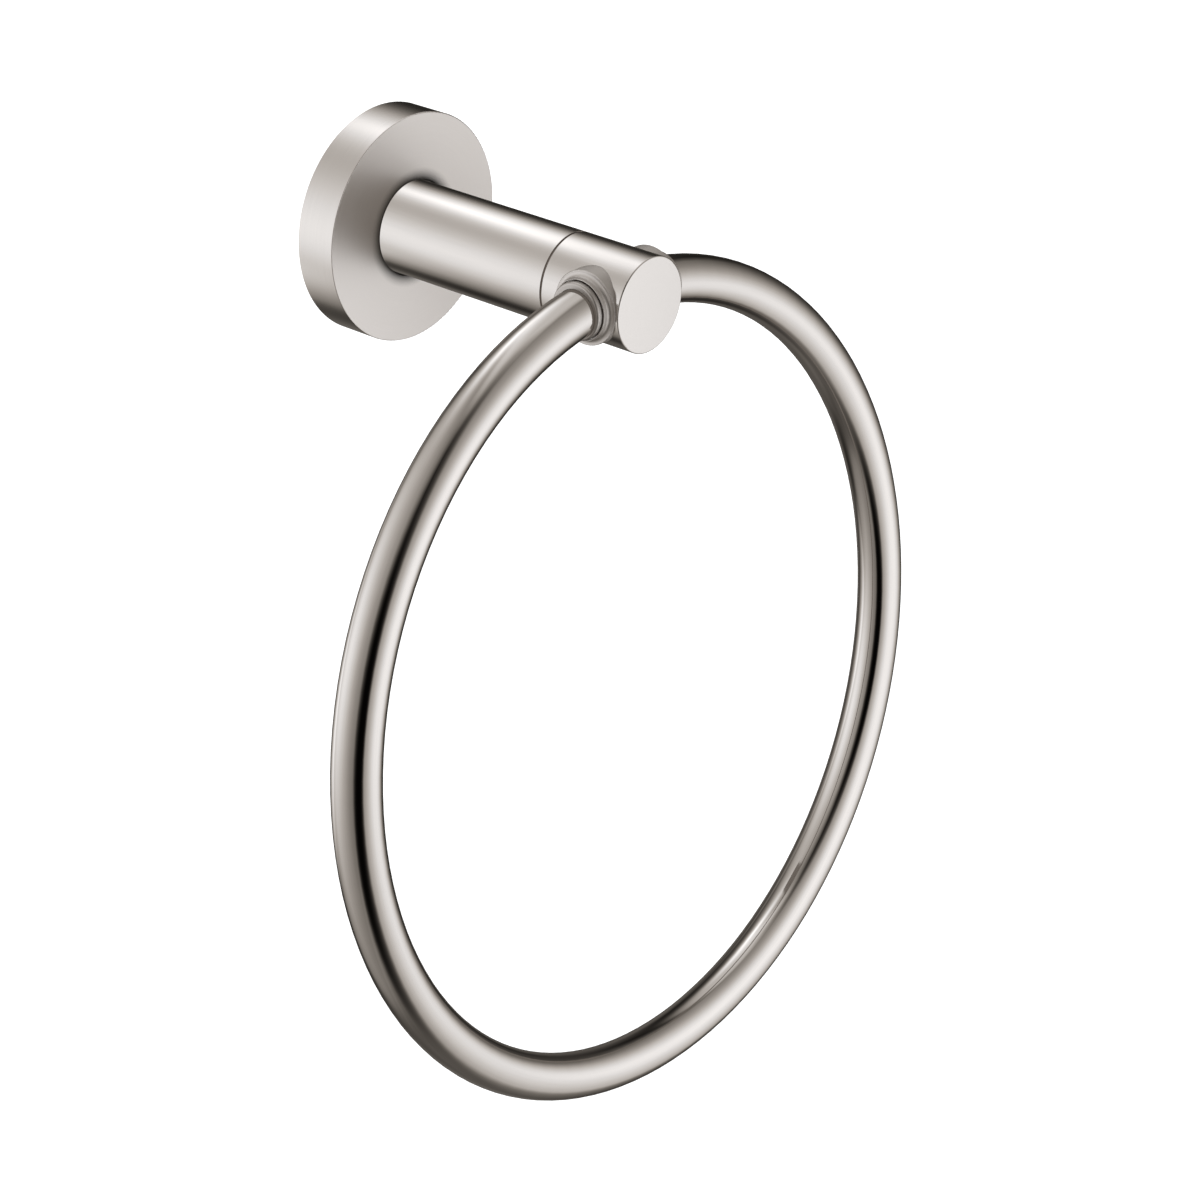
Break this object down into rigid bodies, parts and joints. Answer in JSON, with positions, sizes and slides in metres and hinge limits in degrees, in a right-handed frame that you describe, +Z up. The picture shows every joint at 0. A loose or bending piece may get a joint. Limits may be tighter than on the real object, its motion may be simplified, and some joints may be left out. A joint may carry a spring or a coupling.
{
  "type": "towel ring",
  "caption": "Wall-mounted towel ring: a round tube ring that swings in a cylindrical post head with coved collars, on a round flange with a hidden bracket.",
  "frame": {"origin": "centre of the wall screw pattern, on the post's axis, in the plane of the wall", "axes": "-Y out of the wall along the post, +Z up, +X to the right for someone who faces the wall; +Y points into the wall"},
  "size_m": [0.18, 0.0914, 0.1975],
  "materials": {
    "satin_nickel": "satin nickel plate, fine even grain",
    "ring_nickel": "nickel plate, finer and a little glossier than the post",
    "zinc_plated_steel": "dull zinc plate",
    "dark_steel": "oiled dark steel",
    "bare_brass": "turned, uncoated"
  },
  "bodies": {
    "mount": {"wall_bracket": "zinc_plated_steel", "wall_flange": "satin_nickel", "flange_set_screw": "dark_steel", "post_screw": "zinc_plated_steel", "post_washer": "zinc_plated_steel", "post": "satin_nickel", "ring_head": "satin_nickel", "collar_left": "satin_nickel", "collar_right": "satin_nickel"},
    "ring": {"towel_ring": "ring_nickel", "ring_spigot": "bare_brass", "bush_left": "satin_nickel", "bush_right": "satin_nickel"}
  },
  "joints": [
    {"name": "ring_swing", "type": "hinge", "parent": "mount", "child": "ring", "pos_m": [0, -0.0652, 0], "axis": [1, 0, 0], "range_deg": [-192, 27]}
  ]
}
